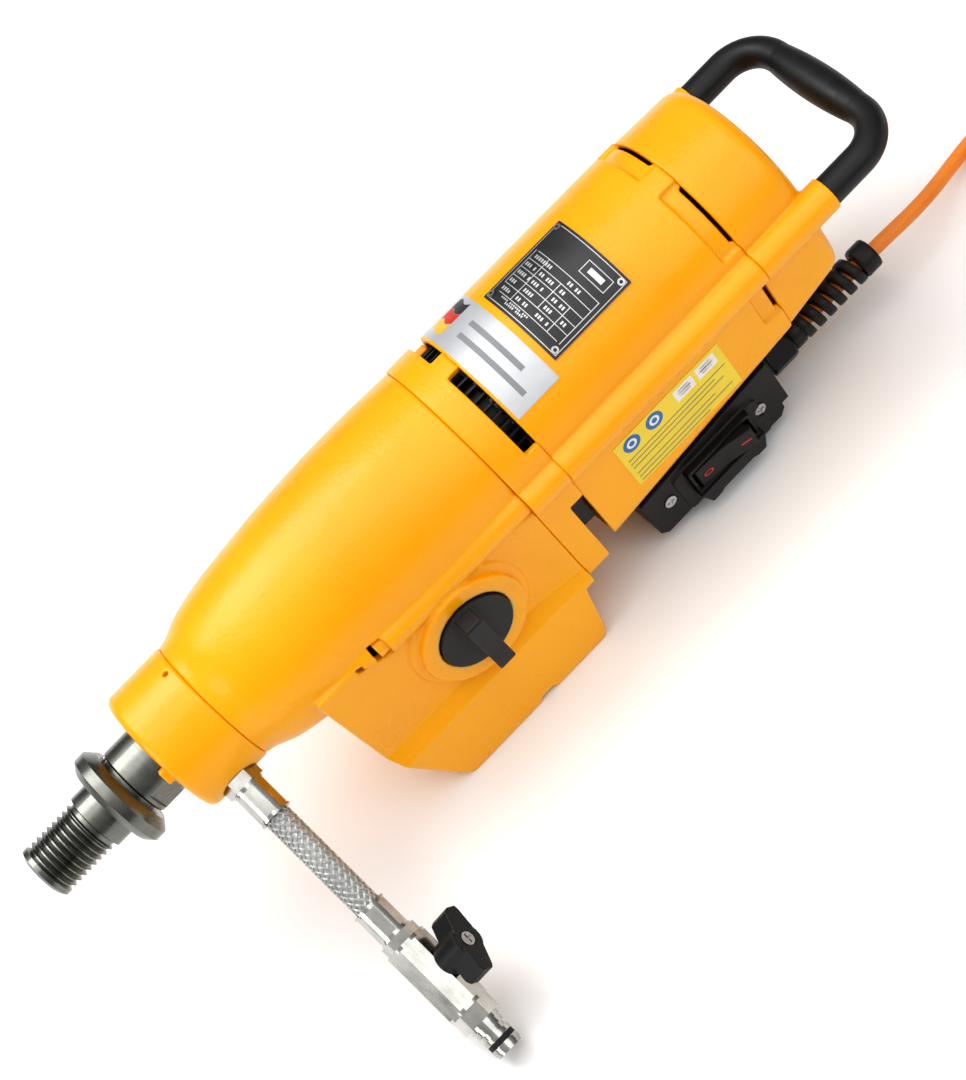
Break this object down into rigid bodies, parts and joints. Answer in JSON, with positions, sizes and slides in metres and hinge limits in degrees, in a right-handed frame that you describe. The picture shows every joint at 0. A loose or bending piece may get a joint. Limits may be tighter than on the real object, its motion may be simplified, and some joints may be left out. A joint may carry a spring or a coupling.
{
  "type": "core drill motor",
  "caption": "Hand-portable electric drive unit of a core drill rig: multi-speed gearbox, threaded spindle, water feed with ball valve, carrying handle, rocker switch and mains lead.",
  "frame": {"origin": "centre of the four mounting holes on the mounting face, on the centre line of its key slot", "axes": "+X along the spindle from nose thread to carrying handle, +Z from the mounting face to the front of the unit, -Y to the side of the gear selector and switch"},
  "size_m": [0.7723, 0.3005, 0.18],
  "materials": {
    "yellow_casting": "semi-gloss textured enamel",
    "aluminium_part": "die cast",
    "black_plastic": "moulded, fine grain",
    "black_rubber": "matt",
    "nickel_brass": "nickel plated",
    "braid": "woven wire over clear hose",
    "zinc_steel": "bright zinc plated",
    "dark_steel": "blackened, turned",
    "gear_steel": "hardened, oiled",
    "bright_steel": "ground",
    "laminations": "stacked sheet steel",
    "copper": "enamelled copper",
    "carbon": "pressed carbon",
    "circuit_board": "solder mask",
    "black_plate": "printed black, satin",
    "silver_label": "silver film",
    "yellow_label": "printed film",
    "orange_cable": "satin polyurethane"
  },
  "bodies": {
    "root": {"gearbox_housing": "yellow_casting", "bearing_plate": "aluminium_part", "intermediate_flange": "yellow_casting", "vent_grille": "black_plastic", "motor_housing": "yellow_casting", "end_cap": "yellow_casting", "carrying_handle": "black_plastic", "water_collar": "yellow_casting", "shaft_seals": "black_rubber", "hose_fittings": "nickel_brass", "hose_ferrules": "nickel_brass", "braided_hose": "braid", "valve_body": "nickel_brass", "quick_nipple": "nickel_brass", "nipple_o_ring": "black_rubber", "fork_rod": "bright_steel", "stator_core": "laminations", "field_coils": "copper", "brush_holders": "nickel_brass", "carbon_brushes": "carbon", "ball_bearings": "bright_steel", "control_board": "circuit_board", "nameplate": "black_plate", "nameplate_rivets": "zinc_steel", "rating_label": "silver_label", "safety_label": "yellow_label", "gearbox_screws": "zinc_steel", "housing_bolts": "zinc_steel", "switch_box": "black_plastic", "switch_cover": "black_plastic", "switch_screws": "zinc_steel", "rocker_frame": "black_plastic", "cable_gland": "black_plastic", "strain_relief": "black_plastic", "mains_cable": "orange_cable", "cable_coil": "orange_cable", "mains_plug": "black_rubber"},
    "spindle": {"spindle": "dark_steel", "release_ring": "dark_steel", "ring_pin": "zinc_steel"},
    "armature": {"armature_shaft": "bright_steel", "armature_core": "laminations", "armature_windings": "copper", "commutator": "copper", "cooling_fan": "aluminium_part"},
    "layshaft": {"layshaft": "gear_steel", "layshaft_gear": "gear_steel"},
    "low_gear": {"low_gear": "gear_steel"},
    "middle_gear": {"middle_gear": "gear_steel"},
    "high_gear": {"high_gear": "gear_steel"},
    "shift_sleeve": {"shift_sleeve": "gear_steel", "draw_key": "gear_steel"},
    "shift_fork": {"shift_fork": "aluminium_part"},
    "selector": {"selector_knob": "black_plastic", "selector_shaft": "bright_steel"},
    "rocker": {"rocker_switch": "black_plastic"},
    "water_valve": {"valve_knob": "black_plastic", "valve_ball": "nickel_brass", "knob_screw": "zinc_steel"}
  },
  "joints": [
    {"name": "armature_spin", "type": "hinge", "parent": "root", "child": "armature", "pos_m": [0, 0, 0.126], "axis": [1, 0, 0], "continuous": true},
    {"name": "spindle_spin", "type": "hinge", "parent": "root", "child": "spindle", "pos_m": [0, 0, 0.126], "axis": [1, 0, 0], "continuous": true},
    {"name": "layshaft_spin", "type": "hinge", "parent": "root", "child": "layshaft", "pos_m": [0, 0, 0.084], "axis": [1, 0, 0], "continuous": true},
    {"name": "low_gear_spin", "type": "hinge", "parent": "root", "child": "low_gear", "pos_m": [0, 0, 0.126], "axis": [1, 0, 0], "continuous": true},
    {"name": "middle_gear_spin", "type": "hinge", "parent": "root", "child": "middle_gear", "pos_m": [0, 0, 0.126], "axis": [1, 0, 0], "continuous": true},
    {"name": "high_gear_spin", "type": "hinge", "parent": "root", "child": "high_gear", "pos_m": [0, 0, 0.126], "axis": [1, 0, 0], "continuous": true},
    {"name": "selector_turn", "type": "hinge", "parent": "root", "child": "selector", "pos_m": [-0.003, -0.062, 0.0874], "axis": [0, -1, 0], "range_deg": [-60, 60]},
    {"name": "fork_slide", "type": "slide", "parent": "root", "child": "shift_fork", "axis": [1, 0, 0], "range_m": [-0.01302, 0.01302]},
    {"name": "sleeve_slide", "type": "slide", "parent": "spindle", "child": "shift_sleeve", "axis": [1, 0, 0], "range_m": [-0.01302, 0.01302]},
    {"name": "rocker_rock", "type": "hinge", "parent": "root", "child": "rocker", "pos_m": [0.1552, -0.052, 0.03], "axis": [0, 0, 1], "range_deg": [0, 17]},
    {"name": "valve_turn", "type": "hinge", "parent": "root", "child": "water_valve", "pos_m": [-0.141, -0.15255, 0.03506], "axis": [0.8, -0.3072, 0.5154], "range_deg": [-71, 19]}
  ],
  "couplings": [
    {"joint": "layshaft_spin", "follows": "armature_spin", "ratio": -0.2069},
    {"joint": "low_gear_spin", "follows": "armature_spin", "ratio": 0.044978},
    {"joint": "middle_gear_spin", "follows": "armature_spin", "ratio": 0.075694},
    {"joint": "high_gear_spin", "follows": "armature_spin", "ratio": 0.11494},
    {"joint": "spindle_spin", "follows": "armature_spin", "ratio": 0.075694},
    {"joint": "fork_slide", "follows": "selector_turn", "m_per_rad": -0.012414},
    {"joint": "sleeve_slide", "follows": "selector_turn", "m_per_rad": -0.012414}
  ]
}
